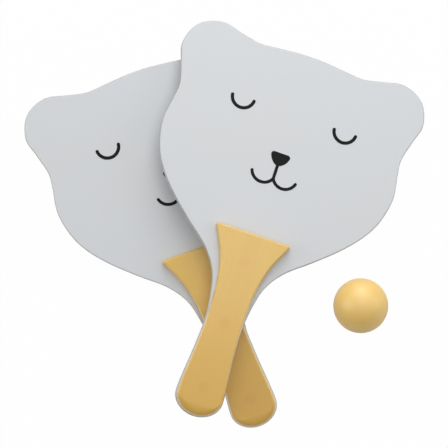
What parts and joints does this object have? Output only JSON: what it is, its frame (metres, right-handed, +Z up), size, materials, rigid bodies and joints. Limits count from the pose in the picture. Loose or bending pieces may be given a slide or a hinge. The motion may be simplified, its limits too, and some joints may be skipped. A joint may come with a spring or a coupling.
{
  "type": "paddle ball game",
  "caption": "Wooden beach bats cut as round-eared animal heads with a printed sleeping face and wood-faced handles, laid crossed beside a small hollow ball.",
  "frame": {"origin": "on the ground under the middle of the laid-out game, which is the middle of the picture", "axes": "+Z up, away from the ground; +Y from the handles towards the bats' heads, up in the picture; +X to the right, towards the ball"},
  "size_m": [0.3689, 0.373, 0.0697],
  "materials": {
    "board_paint": "pale grey satin paint over a flat wooden board",
    "grip_wood": "smooth yellow wood under a matte lacquer",
    "dowel_wood": "end grain of the same yellow wood, matte",
    "ink": "thin black printing ink, satin",
    "ball_rubber": "cream yellow rubber with a soft sheen"
  },
  "bodies": {
    "lower_bat": {"lower_board": "board_paint", "lower_front_grip": "grip_wood", "lower_back_grip": "grip_wood", "lower_end_dowel": "dowel_wood", "lower_middle_dowel": "dowel_wood", "lower_fan_dowel": "dowel_wood", "lower_left_eye": "ink", "lower_right_eye": "ink", "lower_nose": "ink", "lower_mouth": "ink"},
    "upper_bat": {"upper_board": "board_paint", "upper_front_grip": "grip_wood", "upper_back_grip": "grip_wood", "upper_end_dowel": "dowel_wood", "upper_middle_dowel": "dowel_wood", "upper_fan_dowel": "dowel_wood", "upper_left_eye": "ink", "upper_right_eye": "ink", "upper_nose": "ink", "upper_mouth": "ink"},
    "ball": {"ball": "ball_rubber"}
  },
  "joints": [
    {"name": "upper_lift", "type": "slide", "parent": "lower_bat", "child": "upper_bat", "axis": [0, 0, 1], "range_m": [0, 0.12]},
    {"name": "ball_lift", "type": "slide", "parent": "lower_bat", "child": "ball", "axis": [0, 0, 1], "range_m": [0, 0.12]}
  ]
}
